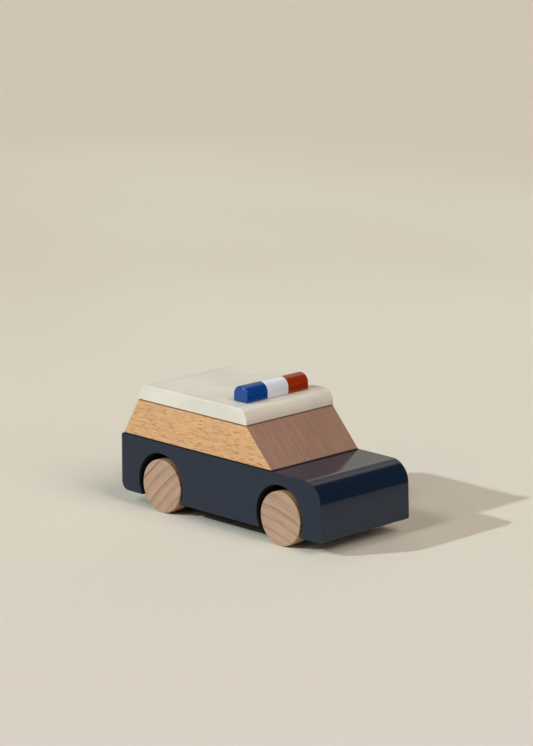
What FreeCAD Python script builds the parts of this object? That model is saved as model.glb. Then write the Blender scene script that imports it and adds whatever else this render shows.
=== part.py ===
# Toy police car: three blocks of beech glued on each other, a light bar and two running axles.
# Sizes are in millimetres. X points to the nose, Y to the car's left side and Z up.
# The origin is on the ground, under the middle of the lower body.
import FreeCAD, Part
import math
import os

os.makedirs("parts", exist_ok=True)

# Lower body, one painted block
body_length = 137.2
body_width = 60.0
body_height = 28.6
ground_clearance = 6.8
nose_radius = 10.5
nose_foot_radius = 1.6
nose_rake = 1.0
tail_foot_radius = 4.5
body_edge_ease = 0.6
arch_edge_ease = 0.4

# Cabin, one bare block with a sloping windscreen and a sloping tail
cabin_height = 19.1
hood_length = 32.4
windscreen_run = 17.5
tail_run = 11.2
cabin_tail_inset = 0.3
cabin_side_inset = 0.4
cabin_edge_ease = 0.5

# Roof, one painted slab with round ends
roof_thickness = 7.7
roof_end_inset = 0.5
roof_end_radius = 6.2
roof_edge_ease = 0.4

# Light bar, three painted blocks end to end
bar_side_margin = 8.6
lamp_width = 9.4
lamp_height = 8.0
lamp_setback = 8.2
lamp_foot_radius = 0.9
lamp_joint_ease = 0.15
bar_end_ease = 0.7

# Wheels, and how they stand in the body
wheel_radius = 13.3
wheel_thickness = 8.0
wheel_inset = 0.6
wheel_rim_radius = 0.55
front_overhang = 27.8
rear_overhang = 27.8
arch_gap = 1.9
arch_rise = 1.3

# Axles, the sleeves that they run in, and the washers beside the wheels
axle_diameter = 4.0
axle_seat_depth = 5.5
axle_end_chamfer = 0.4
sleeve_wall = 1.0
washer_diameter = 9.0
washer_thickness = 0.8

# Dowels that pin the glued joints
cabin_dowel_diameter = 8.0
cabin_dowel_length = 20.0
cabin_dowel_margin = 23.0
roof_dowel_diameter = 6.0
roof_dowel_length = 10.0
roof_dowel_front_margin = 22.5
roof_dowel_rear_margin = 15.0
lamp_dowel_diameter = 3.0
lamp_dowel_length = 8.0
dowel_chamfer = 0.5

# Clearances
running_clearance = 0.08
glue_clearance = 0.03
side_play = 0.3
blind_end_gap = 0.4
match_tolerance = 0.003

# How much rounder a crisp corner is than the easing beside it
crisp_corner_share = 1.2

# Places that follow from the sizes
nose_x = body_length / 2
tail_x = -body_length / 2
deck_z = ground_clearance + body_height
cabin_top_z = deck_z + cabin_height
roof_top_z = cabin_top_z + roof_thickness
axle_x = {"front": nose_x - front_overhang, "rear": tail_x + rear_overhang}
side_turn = {"right": -1, "left": 1}
wheel_face_y = body_width / 2 - wheel_inset
wheel_back_y = wheel_face_y - wheel_thickness
arch_floor_y = wheel_back_y - washer_thickness - side_play
arch_radius = wheel_radius + arch_gap
arch_z = wheel_radius + arch_rise
sleeve_bore_radius = axle_diameter / 2 + running_clearance
sleeve_radius = sleeve_bore_radius + sleeve_wall
cabin_foot_front_x = nose_x - hood_length
cabin_foot_rear_x = tail_x + cabin_tail_inset
cabin_top_front_x = cabin_foot_front_x - windscreen_run
cabin_top_rear_x = cabin_foot_rear_x + tail_run
roof_front_x = cabin_top_front_x - roof_end_inset
roof_rear_x = cabin_top_rear_x + roof_end_inset
cabin_width = body_width - 2 * cabin_side_inset
lamp_x = roof_front_x - lamp_setback - lamp_width / 2
lamp_length = (cabin_width - 2 * bar_side_margin) / 3
lamp_y = {"blue": -lamp_length, "white": 0, "red": lamp_length}
cabin_dowel_x = {
    "front": cabin_foot_front_x - cabin_dowel_margin,
    "rear": cabin_foot_rear_x + cabin_dowel_margin,
}
roof_dowel_x = {
    "front": roof_front_x - roof_dowel_front_margin,
    "rear": roof_rear_x + roof_dowel_rear_margin,
}

Y_AXIS = FreeCAD.Vector(0, 1, 0)
Z_AXIS = FreeCAD.Vector(0, 0, 1)


def outline(corners, depth_y):
    """Closed wire in the plane y = depth_y; each corner is (x, z, radius) and turns on an arc."""
    points = [FreeCAD.Vector(x, depth_y, z) for x, z, radius in corners]
    ends = []
    arcs = []
    for i, (x, z, radius) in enumerate(corners):
        here = points[i]
        to_last = (points[i - 1] - here).normalize()
        to_next = (points[(i + 1) % len(points)] - here).normalize()
        half_angle = to_last.getAngle(to_next) / 2
        reach = radius / math.tan(half_angle)
        start = here + to_last * reach
        stop = here + to_next * reach
        middle = (to_last + to_next).normalize() * (radius / math.sin(half_angle) - radius)
        arcs.append(Part.Arc(start, here + middle, stop).toShape())
        ends.append((start, stop))
    edges = []
    for i, arc in enumerate(arcs):
        edges.append(arc)
        line_start = ends[i][1]
        line_stop = ends[(i + 1) % len(ends)][0]
        if not line_start.isEqual(line_stop, match_tolerance):
            edges.append(Part.LineSegment(line_start, line_stop).toShape())
    return Part.Wire(Part.__sortEdges__(edges))


def block(corners, width, middle_y=0):
    """Solid of one outline, cut to a width along Y."""
    face = Part.Face(outline(corners, middle_y - width / 2))
    return face.extrude(FreeCAD.Vector(0, width, 0))


def end_face_edges(solid, y):
    """The edges of a block that lie in the plane of its end face at y."""
    edges = []
    for edge in solid.Edges:
        box = edge.BoundBox
        if abs(box.YMin - y) < match_tolerance and abs(box.YMax - y) < match_tolerance:
            edges.append(edge)
    return edges


def eased(solid, y, radius):
    """The block with the rim of its end face at y sanded round."""
    return solid.makeFillet(radius, end_face_edges(solid, y))


def cylinder_y(radius, x, y_start, y_stop, z):
    return Part.makeCylinder(radius, y_stop - y_start, FreeCAD.Vector(x, y_start, z), Y_AXIS)


def dowel_hole(diameter, length, x, y, seam_z):
    """Space for a dowel, half its length into each side of a glued seam."""
    depth = length / 2 + blind_end_gap
    start = FreeCAD.Vector(x, y, seam_z - depth)
    return Part.makeCylinder(diameter / 2 + glue_clearance, depth * 2, start, Z_AXIS)


def dowel(diameter, length, x, y, seam_z):
    """Turned pin with both ends chamfered, centred on a glued seam."""
    start = FreeCAD.Vector(x, y, seam_z - length / 2)
    pin = Part.makeCylinder(diameter / 2, length, start, Z_AXIS)
    rims = [edge for edge in pin.Edges if edge.BoundBox.ZLength < dowel_chamfer]
    return pin.makeChamfer(dowel_chamfer, rims)


def lower_body():
    """Block with a round nose, two arches on each side and a bore for each axle sleeve."""
    crisp = body_edge_ease * crisp_corner_share
    solid = block([
        (tail_x, ground_clearance, tail_foot_radius),
        (nose_x, ground_clearance, nose_foot_radius),
        (nose_x - nose_rake, deck_z, nose_radius),
        (tail_x, deck_z, crisp),
    ], body_width)
    for turn in side_turn.values():
        solid = eased(solid, turn * body_width / 2, body_edge_ease)
    for x in axle_x.values():
        for turn in side_turn.values():
            solid = solid.cut(arch(x, turn))
        bore_radius = sleeve_radius + glue_clearance
        solid = solid.cut(cylinder_y(bore_radius, x, -arch_floor_y, arch_floor_y, wheel_radius))
    for x in cabin_dowel_x.values():
        solid = solid.cut(dowel_hole(cabin_dowel_diameter, cabin_dowel_length, x, 0, deck_z))
    return solid.removeSplitter()


def arch(x, turn):
    """Tool for one wheel arch: a round pocket with a sanded mouth, open at the body's foot."""
    mouth_y = body_width / 2
    near_mouth_y = mouth_y - arch_edge_ease
    pocket = cylinder_y(arch_radius, x, arch_floor_y, mouth_y, arch_z)
    flare_start = FreeCAD.Vector(x, near_mouth_y, arch_z)
    flare = Part.makeCone(arch_radius, arch_radius + arch_edge_ease, arch_edge_ease, flare_start, Y_AXIS)
    tool = pocket.fuse(flare)
    if turn < 0:
        tool = tool.mirror(FreeCAD.Vector(0, 0, 0), Y_AXIS)
    return tool


def cabin():
    """Bare block with the windscreen and the tail sawn to their slopes."""
    crisp = cabin_edge_ease * crisp_corner_share
    solid = block([
        (cabin_foot_rear_x, deck_z, crisp),
        (cabin_foot_front_x, deck_z, crisp),
        (cabin_top_front_x, cabin_top_z, crisp),
        (cabin_top_rear_x, cabin_top_z, crisp),
    ], cabin_width)
    for turn in side_turn.values():
        solid = eased(solid, turn * cabin_width / 2, cabin_edge_ease)
    for x in cabin_dowel_x.values():
        solid = solid.cut(dowel_hole(cabin_dowel_diameter, cabin_dowel_length, x, 0, deck_z))
    for x in roof_dowel_x.values():
        solid = solid.cut(dowel_hole(roof_dowel_diameter, roof_dowel_length, x, 0, cabin_top_z))
    return solid


def roof():
    """Painted slab as wide as the cabin, round along its front and rear top edges."""
    crisp = roof_edge_ease * crisp_corner_share
    solid = block([
        (roof_rear_x, cabin_top_z, crisp),
        (roof_front_x, cabin_top_z, crisp),
        (roof_front_x, roof_top_z, roof_end_radius),
        (roof_rear_x, roof_top_z, roof_end_radius),
    ], cabin_width)
    for turn in side_turn.values():
        solid = eased(solid, turn * cabin_width / 2, roof_edge_ease)
    for x in roof_dowel_x.values():
        solid = solid.cut(dowel_hole(roof_dowel_diameter, roof_dowel_length, x, 0, cabin_top_z))
    for y in lamp_y.values():
        solid = solid.cut(dowel_hole(lamp_dowel_diameter, lamp_dowel_length, lamp_x, y, roof_top_z))
    return solid


def lamp(y):
    """Block of the light bar, flat below and half round above, rounder at the bar's free ends."""
    half = lamp_width / 2
    bar_end_y = max(lamp_y.values()) + lamp_length / 2
    solid = block([
        (lamp_x - half, roof_top_z, lamp_foot_radius),
        (lamp_x + half, roof_top_z, lamp_foot_radius),
        (lamp_x + half, roof_top_z + lamp_height, half),
        (lamp_x - half, roof_top_z + lamp_height, half),
    ], lamp_length, y)
    for end_y in (y - lamp_length / 2, y + lamp_length / 2):
        is_free_end = abs(abs(end_y) - bar_end_y) < match_tolerance
        solid = eased(solid, end_y, bar_end_ease if is_free_end else lamp_joint_ease)
    return solid.cut(dowel_hole(lamp_dowel_diameter, lamp_dowel_length, lamp_x, y, roof_top_z))


def wheel(x, turn):
    """Turned disc with round rims and a blind seat for the axle in its back."""
    solid = cylinder_y(wheel_radius, x, wheel_back_y, wheel_face_y, wheel_radius)
    rims = [edge for edge in solid.Edges if edge.BoundBox.YLength < wheel_rim_radius]
    solid = solid.makeFillet(wheel_rim_radius, rims)
    seat_stop_y = wheel_back_y + axle_seat_depth
    seat = cylinder_y(axle_diameter / 2 + glue_clearance, x, wheel_back_y, seat_stop_y, wheel_radius)
    solid = solid.cut(seat)
    if turn < 0:
        solid = solid.mirror(FreeCAD.Vector(0, 0, 0), Y_AXIS)
    return solid


def axle(x):
    """Steel rod from the bottom of one wheel's seat to the other's, with chamfered ends."""
    end_y = wheel_back_y + axle_seat_depth - blind_end_gap
    rod = cylinder_y(axle_diameter / 2, x, -end_y, end_y, wheel_radius)
    rims = [edge for edge in rod.Edges if edge.BoundBox.YLength < axle_end_chamfer]
    return rod.makeChamfer(axle_end_chamfer, rims)


def axle_sleeve(x):
    """Tube glued in the body's bore, flush with the arch floors."""
    tube = cylinder_y(sleeve_radius, x, -arch_floor_y, arch_floor_y, wheel_radius)
    return tube.cut(cylinder_y(sleeve_bore_radius, x, -arch_floor_y, arch_floor_y, wheel_radius))


def washer(x, turn):
    """Flat ring on the axle, against the wheel's back."""
    start_y = wheel_back_y - washer_thickness
    ring = cylinder_y(washer_diameter / 2, x, start_y, wheel_back_y, wheel_radius)
    hole_radius = axle_diameter / 2 + glue_clearance
    ring = ring.cut(cylinder_y(hole_radius, x, start_y, wheel_back_y, wheel_radius))
    if turn < 0:
        ring = ring.mirror(FreeCAD.Vector(0, 0, 0), Y_AXIS)
    return ring


pieces = {"lower_body": lower_body(), "cabin": cabin(), "roof": roof()}
for colour, y in lamp_y.items():
    pieces[f"{colour}_lamp"] = lamp(y)
    pieces[f"{colour}_lamp_dowel"] = dowel(lamp_dowel_diameter, lamp_dowel_length, lamp_x, y, roof_top_z)
for end in axle_x:
    cabin_x = cabin_dowel_x[end]
    roof_x = roof_dowel_x[end]
    x = axle_x[end]
    pieces[f"{end}_cabin_dowel"] = dowel(cabin_dowel_diameter, cabin_dowel_length, cabin_x, 0, deck_z)
    pieces[f"{end}_roof_dowel"] = dowel(roof_dowel_diameter, roof_dowel_length, roof_x, 0, cabin_top_z)
    pieces[f"{end}_axle_sleeve"] = axle_sleeve(x)
    pieces[f"{end}_axle"] = axle(x)
    for side, turn in side_turn.items():
        pieces[f"{end}_{side}_wheel"] = wheel(x, turn)
        pieces[f"{end}_{side}_washer"] = washer(x, turn)

for name, solid in pieces.items():
    print(name, "valid" if solid.isValid() else "INVALID", len(solid.Solids), "solid", round(solid.Volume, 1))
    solid.exportStep(f"parts/{name}.step")
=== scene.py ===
import math

import bmesh
import bpy
from mathutils import Euler, Matrix, Vector


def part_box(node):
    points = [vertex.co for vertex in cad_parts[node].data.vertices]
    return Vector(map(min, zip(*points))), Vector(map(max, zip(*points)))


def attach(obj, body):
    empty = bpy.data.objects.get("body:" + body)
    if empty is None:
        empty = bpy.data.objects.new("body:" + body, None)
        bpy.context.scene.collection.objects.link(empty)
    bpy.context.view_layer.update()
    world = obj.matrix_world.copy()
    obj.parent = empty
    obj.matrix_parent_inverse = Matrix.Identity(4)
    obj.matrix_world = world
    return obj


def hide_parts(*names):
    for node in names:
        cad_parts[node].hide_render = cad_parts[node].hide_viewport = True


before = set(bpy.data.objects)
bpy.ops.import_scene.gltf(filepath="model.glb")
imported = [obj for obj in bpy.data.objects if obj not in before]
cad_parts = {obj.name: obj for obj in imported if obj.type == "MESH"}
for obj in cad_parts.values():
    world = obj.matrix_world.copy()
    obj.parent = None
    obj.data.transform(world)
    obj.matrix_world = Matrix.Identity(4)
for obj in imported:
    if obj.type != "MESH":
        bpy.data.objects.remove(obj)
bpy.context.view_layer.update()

# Lower body: one block of beech with a moulded round nose and four routed wheel arches.
# Its ends and sides are sanded round, then it is primed and sprayed with two coats of navy paint.
# In the arches and in the seam under the cabin, painted shade turns the paint nearly black, and it is matt
# there.
body_low, body_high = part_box("lower_body")
front_wheel_low, front_wheel_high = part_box("front_right_wheel")
rear_wheel_low, rear_wheel_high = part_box("rear_right_wheel")
_, sleeve_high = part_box("front_axle_sleeve")
tail_x = body_low.x
nose_x = -tail_x
foot_z = body_low.z
deck_z = body_high.z
side_y = body_high.y
nose_rake = 0.001
nose_round = 0.0101
nose_foot_round = 0.0016
tail_foot_round = 0.0045
tail_top_round = 0.00072
body_edge_round = 0.0006
arch_edge_round = 0.0004
arch_gap = 0.0019
arch_rise = 0.0013
arch_steps = 72
arch_floor_y = sleeve_high.y
wheel_radius = (front_wheel_high.z - front_wheel_low.z) / 2
arch_radius = wheel_radius + arch_gap
arch_z = wheel_radius + arch_rise
axle_x = {
    "front": (front_wheel_low.x + front_wheel_high.x) / 2,
    "rear": (rear_wheel_low.x + rear_wheel_high.x) / 2,
}
near = 1e-6
crease_angle = math.radians(32)
navy = (0.0066, 0.0152, 0.0350, 1)
navy_rough = 0.12
navy_ior = 1.41
# Nearly black paint for the arches and the seam under the cabin: painted shade.
shaded_hollow_navy = (0.0006, 0.0007, 0.0008, 1)
hollow_rough = 0.9
seam_width = 0.0004
seam_core_share = 0.4
film_mottle_waves = (45, 45, 45)
film_smudge_waves = (60, 60, 60)
film_grain_waves = (40, 900, 900)
film_peel_waves = (650, 650, 650)
film_grain_share = 0.5
film_relief = 0.0000035


def arch_line(bm, x):
    """Round line of one wheel arch in the block's middle plane: its first foot, last foot and edges."""
    foot_reach = math.sqrt(arch_radius**2 - (arch_z - foot_z) ** 2)
    turn = 2 * math.pi - 2 * math.atan2(foot_reach, arch_z - foot_z)
    known = set(bm.edges)
    first = bm.verts.new((x - foot_reach, 0, foot_z))
    turned = bmesh.ops.spin(
        bm, geom=[first], cent=(x, 0, arch_z), axis=(0, 1, 0), angle=turn, steps=arch_steps
    )
    last = [item for item in turned["geom_last"] if isinstance(item, bmesh.types.BMVert)][0]
    return first, last, [edge for edge in bm.edges if edge not in known]


def drawn_out(bm, faces, reach):
    """Extrudes faces along Y and returns the faces at the far end."""
    made = bmesh.ops.extrude_face_region(bm, geom=faces)["geom"]
    moved = [item for item in made if isinstance(item, bmesh.types.BMVert)]
    bmesh.ops.translate(bm, verts=moved, vec=(0, reach, 0))
    return [item for item in made if isinstance(item, bmesh.types.BMFace)]


def long_edges(bm, x, z):
    """The edges along Y through one corner of the side outline."""
    return [
        edge
        for edge in bm.edges
        if all(abs(vert.co.x - x) < near and abs(vert.co.z - z) < near for vert in edge.verts)
    ]


def rim_edges(bm, y):
    """The edges that lie in the end face at y."""
    return [edge for edge in bm.edges if all(abs(vert.co.y - y) < near for vert in edge.verts)]


def circle_edges(bm, y, x, z, radius):
    """The edges of the end face at y that lie on one circle round x and z."""
    return [
        edge
        for edge in rim_edges(bm, y)
        if all(abs(math.hypot(vert.co.x - x, vert.co.z - z) - radius) < near for vert in edge.verts)
    ]


def sanded(bm, edges, radius, segments):
    """Rounds edges to a radius, as a router or a sanding belt does."""
    bmesh.ops.bevel(
        bm, geom=edges, offset=radius, offset_type="OFFSET", affect="EDGES",
        segments=segments, profile=0.5, material=-1, clamp_overlap=True,
    )


def piece_of(bm, name, material):
    """Makes a shaded piece of a bmesh; the weighted normals keep its flat faces flat beside the rounds."""
    bmesh.ops.recalc_face_normals(bm, faces=bm.faces)
    for face in bm.faces:
        face.smooth = True
    for edge in bm.edges:
        edge.smooth = edge.calc_face_angle(0) < crease_angle
    mesh = bpy.data.meshes.new(name)
    bm.to_mesh(mesh)
    bm.free()
    mesh.materials.append(material)
    piece = bpy.data.objects.new(name, mesh)
    bpy.context.scene.collection.objects.link(piece)
    normals = piece.modifiers.new("flat_faces", "WEIGHTED_NORMAL")
    normals.keep_sharp = True
    return piece


def add_node(tree, kind, inputs=None, **settings):
    """Adds a shader node; each input gets a value or the socket that feeds it."""
    made = tree.nodes.new(kind)
    for name, value in settings.items():
        setattr(made, name, value)
    for socket, value in (inputs or {}).items():
        if isinstance(value, bpy.types.NodeSocket):
            tree.links.new(value, made.inputs[socket])
        else:
            made.inputs[socket].default_value = value
    return made


def feed(tree, node, sockets):
    """Links sockets to the named inputs of a node."""
    for name, socket in sockets.items():
        tree.links.new(socket, node.inputs[name])


def math_node(tree, operation, first, second=0.0, clamp=False):
    """Value socket of one sum."""
    made = add_node(tree, "ShaderNodeMath", {0: first, 1: second}, operation=operation, use_clamp=clamp)
    return made.outputs[0]


def length_of(tree, vector):
    """Value socket of a vector's length."""
    return add_node(tree, "ShaderNodeVectorMath", {0: vector}, operation="LENGTH").outputs["Value"]


def ramp(tree, value, start, stop, low=0.0, high=1.0):
    """Value socket that eases from low to high as a value goes from start to stop."""
    inputs = {"Value": value, "From Min": start, "From Max": stop, "To Min": low, "To Max": high}
    return add_node(tree, "ShaderNodeMapRange", inputs, interpolation_type="SMOOTHSTEP").outputs[0]


def spread(tree, noise_value, low, high, start=0.3, stop=0.7):
    """Value socket from low to high over the values that a noise mostly gives, from start to stop."""
    return ramp(tree, noise_value, start, stop, low, high)


def noise(tree, place, waves, detail=2.0, roughness=0.5):
    """Value socket of a noise with so many waves to the metre along each axis."""
    stretched = add_node(
        tree, "ShaderNodeVectorMath", {0: place, 1: Vector(waves)}, operation="MULTIPLY"
    )
    inputs = {"Vector": stretched.outputs[0], "Scale": 1.0, "Detail": detail, "Roughness": roughness}
    return add_node(tree, "ShaderNodeTexNoise", inputs).outputs[0]


def colour_mix(tree, factor, first, second):
    """Colour socket of two colours mixed."""
    inputs = {0: factor, 6: first, 7: second}
    return add_node(tree, "ShaderNodeMix", inputs, data_type="RGBA", blend_type="MIX").outputs[2]


def toned(tree, colour, factor):
    """Colour socket of a colour made darker or lighter."""
    inputs = {0: colour, "Scale": factor}
    return add_node(tree, "ShaderNodeVectorMath", inputs, operation="SCALE").outputs[0]


def emboss(tree, shader, height, relief):
    """Shades a surface by a height; relief is the depth in metres of a height of one."""
    bump = add_node(tree, "ShaderNodeBump", {"Strength": 1.0, "Distance": relief, "Height": height})
    tree.links.new(bump.outputs[0], shader.inputs["Normal"])


def new_group(name, inputs, outputs):
    """Empty shader node group with named sockets: its tree, its input node and its output node."""
    tree = bpy.data.node_groups.new(name, "ShaderNodeTree")
    for socket, kind in inputs.items():
        tree.interface.new_socket(name=socket, in_out="INPUT", socket_type="NodeSocket" + kind)
    for socket, kind in outputs.items():
        tree.interface.new_socket(name=socket, in_out="OUTPUT", socket_type="NodeSocket" + kind)
    return tree, tree.nodes.new("NodeGroupInput"), tree.nodes.new("NodeGroupOutput")


def new_material(name):
    """Empty material: itself, its tree and its Principled shader."""
    material = bpy.data.materials.new(name)
    material.use_nodes = True
    return material, material.node_tree, material.node_tree.nodes["Principled BSDF"]


def near_level(tree, place, level, reach):
    """Mask of the surface that lies within reach of one height."""
    height = add_node(tree, "ShaderNodeSeparateXYZ", {0: place}).outputs[2]
    apart = math_node(tree, "ABSOLUTE", math_node(tree, "SUBTRACT", height, level))
    return ramp(tree, apart, reach, reach * seam_core_share)


def paint_film_group():
    """Sprayed paint over sanded wood: slight mottling, fine orange peel and a ghost of the grain."""
    tree, given, result = new_group(
        "paint_film",
        {"Color": "Color", "Roughness": "Float"},
        {"Color": "Color", "Roughness": "Float", "Height": "Float"},
    )
    place = add_node(tree, "ShaderNodeTexCoord").outputs["Object"]
    mottle = noise(tree, place, film_mottle_waves, detail=3)
    smudge = noise(tree, place, film_smudge_waves, detail=4, roughness=0.65)
    grain = noise(tree, place, film_grain_waves, detail=2)
    peel = noise(tree, place, film_peel_waves, detail=1)
    rough_shift = spread(tree, smudge, low=-0.02, high=0.05, start=0.35, stop=0.75)
    low_grain = math_node(tree, "MULTIPLY", grain, film_grain_share)
    feed(tree, result, {
        "Color": toned(tree, given.outputs["Color"], spread(tree, mottle, low=0.93, high=1.05)),
        "Roughness": math_node(tree, "ADD", given.outputs["Roughness"], rough_shift, clamp=True),
        "Height": math_node(tree, "ADD", peel, low_grain),
    })
    return tree


paint_film = paint_film_group()


def paint(name, colour, roughness, ior):
    """Paint of one colour and gloss: its material and the node that lays the film's marks over it."""
    material, tree, shader = new_material(name)
    inputs = {"Color": colour, "Roughness": roughness}
    film = add_node(tree, "ShaderNodeGroup", inputs, node_tree=paint_film)
    shader.inputs["IOR"].default_value = ior
    feed(tree, shader, {"Base Color": film.outputs["Color"], "Roughness": film.outputs["Roughness"]})
    emboss(tree, shader, film.outputs["Height"], film_relief)
    return material, film


def hollow_shade_mask(tree, place):
    """Mask of the painted shade in the wheel arches and in the seam under the cabin, where the paint turns
    nearly black and matt.
    """
    parts = add_node(tree, "ShaderNodeSeparateXYZ", {0: place})
    along = math_node(tree, "SUBTRACT", math_node(tree, "ABSOLUTE", parts.outputs[0]), axle_x["front"])
    up = math_node(tree, "SUBTRACT", parts.outputs[2], arch_z)
    reach = length_of(tree, add_node(tree, "ShaderNodeCombineXYZ", {0: along, 1: up}).outputs[0])
    arches = ramp(tree, reach, arch_radius + arch_edge_round, arch_radius + arch_edge_round / 4)
    _, seam_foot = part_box("cabin")
    in_front = ramp(tree, parts.outputs[0], seam_foot.x + seam_width, seam_foot.x + seam_width / 2)
    sideways = math_node(tree, "ABSOLUTE", parts.outputs[1])
    inside = ramp(tree, sideways, seam_foot.y + seam_width / 4, seam_foot.y)
    seam = math_node(tree, "MULTIPLY", in_front, inside)
    seam = math_node(tree, "MULTIPLY", seam, near_level(tree, place, deck_z, seam_width))
    return math_node(tree, "MAXIMUM", arches, seam)


bm = bmesh.new()
tail_foot, tail_top, nose_top, nose_foot = [
    bm.verts.new((x, 0, z))
    for x, z in [(tail_x, foot_z), (tail_x, deck_z), (nose_x - nose_rake, deck_z), (nose_x, foot_z)]
]
rear_first, rear_last, rear_line = arch_line(bm, axle_x["rear"])
front_first, front_last, front_line = arch_line(bm, axle_x["front"])
outline = rear_line + front_line
for pair in [
    (tail_foot, rear_first), (rear_last, front_first), (front_last, nose_foot),
    (nose_foot, nose_top), (nose_top, tail_top), (tail_top, tail_foot),
]:
    outline.append(bm.edges.new(pair))
side_face = bmesh.ops.contextual_create(bm, geom=outline)["faces"]
arch_faces = []
for first, last, line in [(rear_first, rear_last, rear_line), (front_first, front_last, front_line)]:
    mouth = bm.edges.new((first, last))
    arch_faces += bmesh.ops.contextual_create(bm, geom=line + [mouth])["faces"]
outer = drawn_out(bm, side_face + arch_faces, arch_floor_y)
side_face = [max(outer, key=lambda face: face.calc_area())]
drawn_out(bm, side_face, side_y - arch_floor_y)
middle = [face for face in bm.faces if all(abs(vert.co.y) < near for vert in face.verts)]
bmesh.ops.delete(bm, geom=middle, context="FACES")
whole = bm.verts[:] + bm.edges[:] + bm.faces[:]
bmesh.ops.mirror(bm, geom=whole, matrix=Matrix.Identity(4), merge_dist=near, axis="Y")
bmesh.ops.recalc_face_normals(bm, faces=bm.faces)
sanded(bm, long_edges(bm, nose_x - nose_rake, deck_z), nose_round, segments=28)
sanded(bm, long_edges(bm, tail_x, foot_z), tail_foot_round, segments=16)
sanded(bm, long_edges(bm, nose_x, foot_z), nose_foot_round, segments=8)
sanded(bm, long_edges(bm, tail_x, deck_z), tail_top_round, segments=4)
for y in (-side_y, side_y):
    arches = [edge for x in axle_x.values() for edge in circle_edges(bm, y, x, arch_z, arch_radius)]
    sanded(bm, arches, arch_edge_round, segments=3)
for y in (-side_y, side_y):
    sanded(bm, rim_edges(bm, y), body_edge_round, segments=5)
navy_paint, film = paint("navy_paint", navy, navy_rough, navy_ior)
tree = navy_paint.node_tree
# Painted shade: the arches and the seam under the cabin turn nearly black and matt.
hollow_shade = hollow_shade_mask(tree, add_node(tree, "ShaderNodeTexCoord").outputs["Object"])
feed(tree, film, {
    "Color": colour_mix(tree, hollow_shade, navy, shaded_hollow_navy),
    "Roughness": ramp(tree, hollow_shade, 0.0, 1.0, navy_rough, hollow_rough),
})
body = piece_of(bm, "painted_body", navy_paint)
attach(body, "root")
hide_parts("lower_body")

# Cabin: one bare block of beech, its windscreen and tail sawn to their slopes and all edges sanded.
# The sides are long grain with short dark rays, and the windscreen is end grain, darker and pinker.
# Painted shade darkens its foot, and a thin line of painted shade runs under the roof.
cabin_low, cabin_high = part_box("cabin")
windscreen_run = 0.0175
tail_run = 0.0112
cabin_edge_round = 0.00055
cabin_turn = (math.radians(-8), 0, 0)
cabin_ring_width = 0.0026
long_grain = (0.697, 0.380, 0.182, 1)
end_grain = (0.362, 0.200, 0.141, 1)
ring_shade = (0.230, 0.118, 0.062, 1)
fleck_shade = (0.430, 0.200, 0.058, 1)
# Painted shade: near black at the cabin's foot and dark brown in a thin line under the roof.
foot_shade = (0.010, 0.007, 0.005, 1)
foot_shade_mask_reach = 0.0008
roof_shade_line = (0.20, 0.095, 0.038, 1)
roof_shade_line_reach = 0.0007
ring_sway_waves = (9, 28, 28)
ring_sway = 0.0035
ring_bow = 5.0
fine_lines_per_ring = 4.3
streak_waves = (22, 650, 650)
end_streak_waves = (22, 480, 70)
cloud_waves = (18, 55, 55)
pore_waves = (420, 7000, 7000)
pore_tone = -0.08
mottle_waves = (140, 500, 850)
fleck_waves = (200, 110, 1600)
streak_share = 0.6
early_wood_rough = 0.62
late_wood_rough = 0.52
beech_relief = 0.00003
beech_ior = 1.45


def sawn_block(corners, y_low, y_high):
    """Block of one side outline, cut square at both ends."""
    bm = bmesh.new()
    verts = [bm.verts.new((x, y_low, z)) for x, z in corners]
    outline = bmesh.ops.contextual_create(bm, geom=verts)["faces"]
    drawn_out(bm, outline, y_high - y_low)
    bmesh.ops.recalc_face_normals(bm, faces=bm.faces)
    return bm


def ring_lines(tree, ring, start, peak, sharpness, quiet, weak, strong):
    """A dark line in each ring, from its start over its peak to the ring's end, each with its own force."""
    share = math_node(tree, "FRACT", ring)
    rise = math_node(tree, "POWER", ramp(tree, share, start, peak), sharpness)
    line = math_node(tree, "MULTIPLY", rise, ramp(tree, share, 1.0, peak))
    ring_number = math_node(tree, "FLOOR", ring)
    force = add_node(tree, "ShaderNodeTexWhiteNoise", {"W": ring_number}, noise_dimensions="1D")
    return math_node(tree, "MULTIPLY", line, ramp(tree, force.outputs["Value"], quiet, 1.0, weak, strong))


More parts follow.
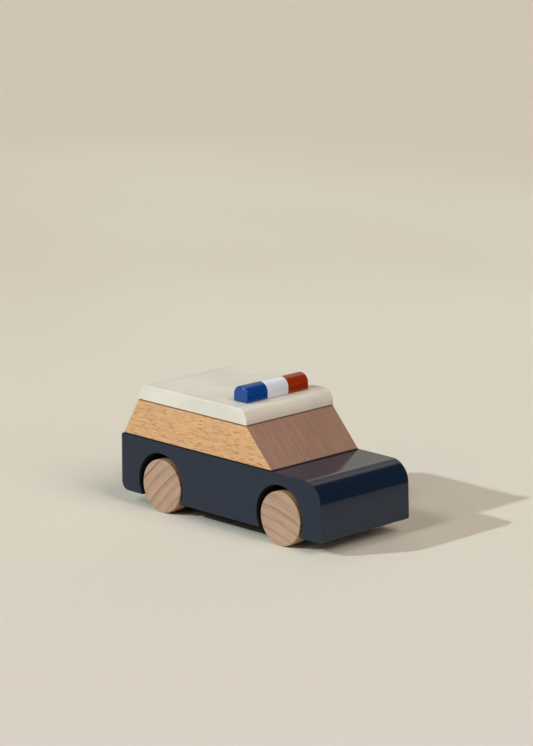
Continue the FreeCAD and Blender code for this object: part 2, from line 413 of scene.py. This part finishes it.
def beech_figure_group():
    """Beech in three dimensions: Place is along the grain, across the rings and along the rings."""
    tree, given, result = new_group(
        "beech_figure",
        {
            "Place": "Vector", "End": "Float", "Long Color": "Color", "End Color": "Color",
            "Ring Width": "Float", "Ring Depth": "Float", "Ray Depth": "Float",
        },
        {"Color": "Color", "Roughness": "Float", "Height": "Float"},
    )
    place = given.outputs["Place"]
    parts = add_node(tree, "ShaderNodeSeparateXYZ", {0: place})
    sway = math_node(tree, "SUBTRACT", noise(tree, place, ring_sway_waves, detail=3), 0.5)
    swayed = math_node(tree, "ADD", parts.outputs[1], math_node(tree, "MULTIPLY", sway, ring_sway))
    bow = math_node(tree, "MULTIPLY", math_node(tree, "POWER", parts.outputs[2], 2.0), ring_bow)
    across = math_node(tree, "ADD", swayed, bow)
    ring = math_node(tree, "DIVIDE", across, given.outputs["Ring Width"])
    fine_ring = math_node(tree, "MULTIPLY", ring, fine_lines_per_ring)
    late_wood = math_node(
        tree, "MAXIMUM",
        ring_lines(tree, ring, start=0.60, peak=0.94, sharpness=2.0, quiet=0.0, weak=0.5, strong=1.0),
        ring_lines(tree, fine_ring, start=0.4, peak=0.8, sharpness=1.0, quiet=0.2, weak=0.0, strong=0.42),
    )
    streak = noise(tree, place, streak_waves, detail=3, roughness=0.6)
    end_streak = noise(tree, place, end_streak_waves, detail=2)
    cloud = noise(tree, place, cloud_waves, detail=2)
    mottle = noise(tree, place, mottle_waves, detail=3, roughness=0.65)
    pore = ramp(tree, noise(tree, place, pore_waves, detail=1), start=0.60, stop=0.75)
    ray = ramp(tree, noise(tree, place, fleck_waves, detail=2, roughness=0.6), start=0.560, stop=0.640)

    end_share = given.outputs["End"]
    long_share = math_node(tree, "SUBTRACT", 1.0, end_share)
    wood = colour_mix(tree, end_share, given.outputs["Long Color"], given.outputs["End Color"])
    ring_dark = math_node(tree, "MULTIPLY", late_wood, given.outputs["Ring Depth"])
    wood = colour_mix(tree, ring_dark, wood, ring_shade)
    ray_dark = math_node(tree, "MULTIPLY", ray, given.outputs["Ray Depth"])
    wood = colour_mix(tree, math_node(tree, "MULTIPLY", ray_dark, long_share), wood, fleck_shade)
    tone = spread(tree, cloud, low=0.96, high=1.04)
    for shift in (
        spread(tree, streak, low=-0.05, high=0.03, start=0.25, stop=0.75),
        math_node(tree, "MULTIPLY", spread(tree, mottle, low=-0.11, high=0.10), long_share),
        math_node(tree, "MULTIPLY", spread(tree, end_streak, low=-0.09, high=0.07), end_share),
        math_node(tree, "MULTIPLY", pore, pore_tone),
    ):
        tone = math_node(tree, "ADD", tone, shift)
    dips = math_node(tree, "ADD", ray, pore)
    feed(tree, result, {
        "Color": toned(tree, wood, tone),
        "Roughness": ramp(tree, late_wood, 0.0, 1.0, early_wood_rough, late_wood_rough),
        "Height": math_node(tree, "SUBTRACT", math_node(tree, "MULTIPLY", streak, streak_share), dips),
    })
    return tree


beech_figure = beech_figure_group()


def beech(
    name, turn, centre, start, grain_axis, ring_width, ring_depth, ray_depth,
    long_colour=long_grain, end_colour=end_grain,
):
    """Bare beech for one piece: its material and the node that draws the figure.

    The turn lays the wood's axes in the piece, and start says where in the trunk the centre lay.
    """
    material, tree, shader = new_material(name)
    coordinates = add_node(tree, "ShaderNodeTexCoord")
    laid = Euler(turn).to_matrix() @ Vector(centre)
    place = add_node(
        tree, "ShaderNodeMapping",
        {"Vector": coordinates.outputs["Object"], "Rotation": turn, "Location": Vector(start) - laid},
    )
    facing = add_node(tree, "ShaderNodeSeparateXYZ", {0: coordinates.outputs["Normal"]})
    along_grain = math_node(tree, "ABSOLUTE", facing.outputs[grain_axis])
    inputs = {
        "Place": place.outputs[0],
        "End": ramp(tree, along_grain, start=0.25, stop=0.72),
        "Long Color": long_colour,
        "End Color": end_colour,
        "Ring Width": ring_width,
        "Ring Depth": ring_depth,
        "Ray Depth": ray_depth,
    }
    figure = add_node(tree, "ShaderNodeGroup", inputs, node_tree=beech_figure)
    shader.inputs["IOR"].default_value = beech_ior
    feed(tree, shader, {"Base Color": figure.outputs["Color"], "Roughness": figure.outputs["Roughness"]})
    emboss(tree, shader, figure.outputs["Height"], beech_relief)
    return material, figure


bm = sawn_block(
    [
        (cabin_low.x, cabin_low.z),
        (cabin_low.x + tail_run, cabin_high.z),
        (cabin_high.x - windscreen_run, cabin_high.z),
        (cabin_high.x, cabin_low.z),
    ],
    cabin_low.y, cabin_high.y,
)
sanded(bm, bm.edges[:], cabin_edge_round, segments=4)
bare_beech, figure = beech(
    "bare_beech", turn=cabin_turn, centre=(0, 0, 0), start=(0.011, 0.004, 0.002), grain_axis=0,
    ring_width=cabin_ring_width, ring_depth=0.16, ray_depth=0.95,
)
tree = bare_beech.node_tree
place = add_node(tree, "ShaderNodeTexCoord").outputs["Object"]
# Painted shade: a band at the foot and a thin line under the roof are darkened.
foot_shade_mask = near_level(tree, place, cabin_low.z, foot_shade_mask_reach)
roof_shade_mask = near_level(tree, place, cabin_high.z, roof_shade_line_reach)
wood = colour_mix(tree, foot_shade_mask, figure.outputs["Color"], foot_shade)
wood = colour_mix(tree, roof_shade_mask, wood, roof_shade_line)
feed(tree, tree.nodes["Principled BSDF"], {"Base Color": wood})
cabin = piece_of(bm, "beech_cabin", bare_beech)
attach(cabin, "root")
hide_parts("cabin")

# Roof: a slab of beech glued and pinned on the cabin, round along its front and rear top edges.
# It is sprayed with satin cream paint before it is glued on.
roof_low, roof_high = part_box("roof")
roof_end_round = 0.0062
roof_foot_round = 0.00048
roof_edge_round = 0.0004
cream = (0.742, 0.670, 0.578, 1)
cream_rough = 0.32
cream_ior = 1.45


def box_outline(low, high):
    """Corners of a box's side outline, from the rear foot over the top to the front foot."""
    return [(low.x, low.z), (low.x, high.z), (high.x, high.z), (high.x, low.z)]


bm = sawn_block(box_outline(roof_low, roof_high), roof_low.y, roof_high.y)
for x in (roof_low.x, roof_high.x):
    sanded(bm, long_edges(bm, x, roof_high.z), roof_end_round, segments=24)
    sanded(bm, long_edges(bm, x, roof_low.z), roof_foot_round, segments=4)
for y in (roof_low.y, roof_high.y):
    sanded(bm, rim_edges(bm, y), roof_edge_round, segments=4)
cream_paint, _ = paint("cream_paint", cream, cream_rough, cream_ior)
roof = piece_of(bm, "painted_roof", cream_paint)
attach(roof, "root")
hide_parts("roof")

# Light bar: three blocks of one moulding, flat below and half round above, glued end to end.
# Each has a gloss coat of its own colour, and the bar's free ends are rounder than its joints.
bar_low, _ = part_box("blue_lamp")
_, bar_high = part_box("red_lamp")
lamp_foot_round = 0.0009
lamp_joint_round = 0.00015
bar_end_round = 0.0010
crown_weld = near * 5
lamp_rough = 0.06
lamp_ior = 1.5
lamp_colours = {
    "blue": (0.003, 0.052, 0.245, 1),
    "white": (0.735, 0.740, 0.800, 1),
    "red": (0.30, 0.028, 0.003, 1),
}

for colour_name, colour in lamp_colours.items():
    lamp_low, lamp_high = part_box(f"{colour_name}_lamp")
    bm = sawn_block(box_outline(lamp_low, lamp_high), lamp_low.y, lamp_high.y)
    lamp_round = (lamp_high.x - lamp_low.x) / 2 - near
    top_edges = long_edges(bm, lamp_low.x, lamp_high.z) + long_edges(bm, lamp_high.x, lamp_high.z)
    sanded(bm, top_edges, lamp_round, segments=20)
    foot_edges = long_edges(bm, lamp_low.x, lamp_low.z) + long_edges(bm, lamp_high.x, lamp_low.z)
    sanded(bm, foot_edges, lamp_foot_round, segments=6)
    bmesh.ops.remove_doubles(bm, verts=bm.verts, dist=crown_weld)
    for y in (lamp_low.y, lamp_high.y):
        is_free_end = abs(y - bar_low.y) < near or abs(y - bar_high.y) < near
        sanded(bm, rim_edges(bm, y), bar_end_round if is_free_end else lamp_joint_round, segments=5)
    lamp_paint, _ = paint(f"{colour_name}_paint", colour, lamp_rough, lamp_ior)
    lamp = piece_of(bm, f"{colour_name}_light_block", lamp_paint)
    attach(lamp, "root")
    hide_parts(f"{colour_name}_lamp")

# Dowels: beech pins, glued half in each block across every seam. None of them shows.
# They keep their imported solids, as do the axles, sleeves and washers, and get only their material.
dowel_turn = (0, math.radians(90), 0)
dowel_ring_width = 0.0022


def finish_solids(endings, material):
    """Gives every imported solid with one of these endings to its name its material."""
    for name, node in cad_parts.items():
        if name.endswith(endings):
            node.material_slots[0].material = material


dowel_beech, _ = beech(
    "dowel_beech", turn=dowel_turn, centre=(0, 0, 0), start=(0, 0.003, 0), grain_axis=2,
    ring_width=dowel_ring_width, ring_depth=0.2, ray_depth=0.4,
)
finish_solids("_dowel", dowel_beech)

# Axles, sleeves and washers: drawn steel rods that run in natural plastic tubes glued in the body.
# A thin plastic ring on each axle end keeps the wheel off the painted arch floor.
steel = (0.56, 0.57, 0.58, 1)
smeared_steel = (0.46, 0.46, 0.45, 1)
draw_line_waves = (9000, 60, 9000)
smear_waves = (300, 120, 300)
steel_relief = 0.000004
nylon = (0.76, 0.75, 0.70, 1)
hazy_nylon = (0.68, 0.67, 0.61, 1)
haze_waves = (180, 180, 180)
plastic_grain_waves = (2500, 2500, 2500)
plastic_relief = 0.000008
plastic_ior = 1.53

axle_steel, tree, shader = new_material("axle_steel")
place = add_node(tree, "ShaderNodeTexCoord").outputs["Object"]
draw_lines = noise(tree, place, draw_line_waves, detail=2)
smears = noise(tree, place, smear_waves, detail=3)
line_rough = spread(tree, draw_lines, low=0.2, high=0.34)
smear_rough = spread(tree, smears, low=0.0, high=0.08, start=0.4)
feed(tree, shader, {
    "Base Color": colour_mix(tree, ramp(tree, smears, start=0.35, stop=0.75), steel, smeared_steel),
    "Roughness": math_node(tree, "ADD", line_rough, smear_rough),
})
shader.inputs["Metallic"].default_value = 1.0
emboss(tree, shader, draw_lines, steel_relief)
finish_solids("_axle", axle_steel)

natural_plastic, tree, shader = new_material("natural_plastic")
place = add_node(tree, "ShaderNodeTexCoord").outputs["Object"]
haze = noise(tree, place, haze_waves, detail=3)
feed(tree, shader, {
    "Base Color": colour_mix(tree, spread(tree, haze, low=0.0, high=1.0), nylon, hazy_nylon),
    "Roughness": spread(tree, haze, low=0.42, high=0.52),
})
shader.inputs["IOR"].default_value = plastic_ior
emboss(tree, shader, noise(tree, place, plastic_grain_waves, detail=1), plastic_relief)
finish_solids(("_sleeve", "_washer"), natural_plastic)

# Wheels: four discs cut across a beech rod and turned, with sanded rims and a blind seat for the axle.
# Their faces are end grain, so each shows its own lines of rings, and the tread is long grain.
seat_radius = 0.00203
seat_depth = 0.0055
rim_round = 0.00055
wheel_steps = 128
wheel_end_grain = (0.465, 0.286, 0.197, 1)
wheel_long_grain = (0.50, 0.29, 0.13, 1)
wheel_ring_width = 0.0054
ring_tilt = {"front_right": -14, "rear_right": 43, "front_left": 68, "rear_left": -31}
ring_start = {"front_right": 0.0016, "rear_right": 0.0050, "front_left": 0.0020, "rear_left": 0.0041}
trunk_side = 0.002

for corner, tilt in ring_tilt.items():
    node_name = f"{corner}_wheel"
    wheel_low, wheel_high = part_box(node_name)
    end, side = corner.split("_")
    face_y, back_y = (wheel_low.y, wheel_high.y) if side == "right" else (wheel_high.y, wheel_low.y)
    outward = 1 if side == "left" else -1
    hub = Vector((axle_x[end], 0, wheel_radius))
    section = [
        (back_y + outward * seat_depth, 0),
        (back_y + outward * seat_depth, seat_radius),
        (back_y, seat_radius),
        (back_y, wheel_radius),
        (face_y, wheel_radius),
        (face_y, 0),
    ]
    bm = bmesh.new()
    verts = [bm.verts.new((hub.x, y, hub.z + radius)) for y, radius in section]
    edges = [bm.edges.new(pair) for pair in zip(verts, verts[1:])]
    bmesh.ops.spin(
        bm, geom=verts + edges, cent=hub, axis=(0, 1, 0), angle=2 * math.pi, steps=wheel_steps,
        use_merge=True,
    )
    bmesh.ops.remove_doubles(bm, verts=bm.verts, dist=near)
    bmesh.ops.recalc_face_normals(bm, faces=bm.faces)
    for y in (face_y, back_y):
        sanded(bm, circle_edges(bm, y, hub.x, hub.z, wheel_radius), rim_round, segments=6)
    wheel_beech, _ = beech(
        f"{corner}_beech", turn=(0, math.radians(tilt - 90), math.radians(-90)), centre=hub,
        start=(hub.x, ring_start[corner], trunk_side), grain_axis=1, ring_width=wheel_ring_width,
        ring_depth=0.95, ray_depth=0.35, long_colour=wheel_long_grain, end_colour=wheel_end_grain,
    )
    wheel = piece_of(bm, f"beech_wheel_{corner}", wheel_beech)
    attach(wheel, f"{end}_wheelset")
    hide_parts(node_name)

# Floor: a plain pale sheet of card, far larger than the picture. Farther off it darkens in soft clouds,
# painted shadow, and toward the front it turns lighter and pinker.
# Right of the picture it counts as dark for reflections and shade, but no camera sees it dark.
floor_half_width = 5.0
card = (0.698, 0.622, 0.530, 1)
card_rough = 0.9
far_card = (0.640, 0.540, 0.452, 1)
far_start = 0.35
far_stop = 1.1
floor_cloud_waves = (1.6, 2.4, 1)
floor_cloud_reach = 0.3
front_card = (0.722, 0.622, 0.572, 1)
front_way = Vector((0.707, -0.707, 0))
front_start = 0.02
front_stop = 0.45
dark_card = (0.010, 0.010, 0.010, 1)
dark_edge_x = 0.148
dark_corner_y = 0.046
dark_reach = 1.2


def along_way(tree, vector, way):
    """Value socket of how far a vector reaches along a way."""
    inputs = {0: vector, 1: way}
    return add_node(tree, "ShaderNodeVectorMath", inputs, operation="DOT_PRODUCT").outputs["Value"]


def unseen_dark_area(tree, place):
    """Mask of the dark area, which has four sides and one of them slanting, and no camera ray sees."""
    spot = add_node(tree, "ShaderNodeSeparateXYZ", {0: place}).outputs
    slant = math_node(tree, "ADD", spot["X"], spot["Y"])
    area = math_node(tree, "GREATER_THAN", spot["X"], dark_edge_x)
    for value, test, limit in (
        (slant, "GREATER_THAN", dark_edge_x + dark_corner_y),
        (spot["X"], "LESS_THAN", dark_edge_x + dark_reach),
        (spot["Y"], "LESS_THAN", dark_corner_y + dark_reach),
    ):
        area = math_node(tree, "MULTIPLY", area, math_node(tree, test, value, limit))
    seen = add_node(tree, "ShaderNodeLightPath").outputs["Is Camera Ray"]
    return math_node(tree, "MULTIPLY", area, math_node(tree, "SUBTRACT", 1.0, seen))


bm = bmesh.new()
bmesh.ops.create_grid(bm, x_segments=1, y_segments=1, size=floor_half_width)
floor_mesh = bpy.data.meshes.new("floor")
bm.to_mesh(floor_mesh)
bm.free()
floor = bpy.data.objects.new("floor", floor_mesh)
bpy.context.scene.collection.objects.link(floor)
floor_card, tree, shader = new_material("floor_card")
place = add_node(tree, "ShaderNodeTexCoord").outputs["Object"]
# Painted shadow: soft dark clouds and a darker card farther off; toward the front the card turns lighter
# and pinker.
cloud = noise(tree, place, floor_cloud_waves, detail=2)
cloud_shift = spread(tree, cloud, low=-floor_cloud_reach, high=floor_cloud_reach, start=0.2, stop=0.8)
clouded = math_node(tree, "ADD", length_of(tree, place), cloud_shift)
frontward = along_way(tree, place, front_way)
card_colour = colour_mix(tree, ramp(tree, clouded, far_start, far_stop), card, far_card)
card_colour = colour_mix(tree, ramp(tree, frontward, front_start, front_stop), card_colour, front_card)
card_colour = colour_mix(tree, unseen_dark_area(tree, place), card_colour, dark_card)
feed(tree, shader, {"Base Color": card_colour})
shader.inputs["Roughness"].default_value = card_rough
shader.inputs["Specular IOR Level"].default_value = 0.0
floor_mesh.materials.append(floor_card)

# Light: a hard cool lamp from the car's right rear and a softer one straight from its right side.
# Round them stands a dark studio: a pale wall and a box on the left, bright boxes in front and on
# the right, and a low fill in front. Camera rays see a plain backdrop in its place.
studio_dark = (0.030, 0.027, 0.024, 1)
left_wall = (1.100, 0.960, 0.790, 1)
left_box = (1.150, 1.030, 0.860, 1)
low_fill = (1.420, 1.400, 1.600, 1)
front_box = (5.400, 5.200, 4.800, 1)
right_box = (1.900, 1.700, 1.150, 1)


def direction(azimuth, elevation):
    """Unit vector at an azimuth from +X and an elevation, both in degrees."""
    a = math.radians(azimuth)
    e = math.radians(elevation)
    return Vector((math.cos(a) * math.cos(e), math.sin(a) * math.cos(e), math.sin(e)))


def far_lamp(name, azimuth, elevation, width, energy, colour):
    """Lamp so far away that its rays are parallel; width is its size across, in degrees."""
    light = bpy.data.lights.new(name, "SUN")
    light.energy = energy
    light.color = colour
    light.angle = math.radians(width)
    lamp = bpy.data.objects.new(name, light)
    lamp.rotation_euler = direction(azimuth, elevation).to_track_quat("Z", "Y").to_euler()
    bpy.context.scene.collection.objects.link(lamp)


def hung(tree, studio, colour, azimuth, elevation, inner, outer):
    """Studio with a round patch of one colour, whole within the inner angle and gone past the outer."""
    way = add_node(tree, "ShaderNodeTexCoord").outputs["Generated"]
    nearness = along_way(tree, way, direction(azimuth, elevation))
    mask = ramp(tree, nearness, math.cos(math.radians(outer)), math.cos(math.radians(inner)))
    return colour_mix(tree, mask, studio, colour)


far_lamp("hard_lamp", azimuth=-121.4, elevation=31.2, width=1.6, energy=2.16, colour=(0.775, 0.955, 1.0))
far_lamp("soft_lamp", azimuth=-92, elevation=46.5, width=13, energy=0.83, colour=(0.87, 0.94, 1.0))

world = bpy.data.worlds.new("studio")
bpy.context.scene.world = world
world.use_nodes = True
tree = world.node_tree
# Two patches of the studio's own dark trim the wall.
studio = hung(tree, studio_dark, left_wall, azimuth=115.4, elevation=30.2, inner=16.2, outer=29.5)
studio = hung(tree, studio, studio_dark, azimuth=143, elevation=45.5, inner=9, outer=26.6)
studio = hung(tree, studio, left_box, azimuth=152, elevation=52, inner=10, outer=18)
studio = hung(tree, studio, low_fill, azimuth=-3, elevation=13, inner=8, outer=22)
studio = hung(tree, studio, front_box, azimuth=-2, elevation=46.2, inner=15.8, outer=18.8)
studio = hung(tree, studio, right_box, azimuth=-89, elevation=29.5, inner=8.5, outer=14.4)
studio = hung(tree, studio, studio_dark, azimuth=65.6, elevation=19.2, inner=28.4, outer=38.3)
is_camera = add_node(tree, "ShaderNodeLightPath").outputs["Is Camera Ray"]
feed(tree, tree.nodes["Background"], {"Color": colour_mix(tree, is_camera, studio, far_card)})

# Camera: at the photograph's viewing angle, a long lens from the front right.
# The azimuth counts from the car's right side toward its nose.
camera_azimuth = 45.22
camera_elevation = 13.69
camera_distance = 1.804
camera_lens = 179.9
sensor_width = 36
aim_right = 0.00144
aim_up = 0.04093
aim_z = 0.030

back = direction(camera_azimuth - 90, camera_elevation)
turned = back.to_track_quat("Z", "Y")
aim = Vector((0, 0, aim_z)) + turned @ Vector((aim_right, aim_up, 0))
camera_data = bpy.data.cameras.new("camera")
camera_data.lens = camera_lens
camera_data.sensor_width = sensor_width
camera = bpy.data.objects.new("camera", camera_data)
camera.location = aim + back * camera_distance
camera.rotation_euler = turned.to_euler()
bpy.context.scene.collection.objects.link(camera)
bpy.context.scene.camera = camera
bpy.context.scene.view_settings.view_transform = "Standard"
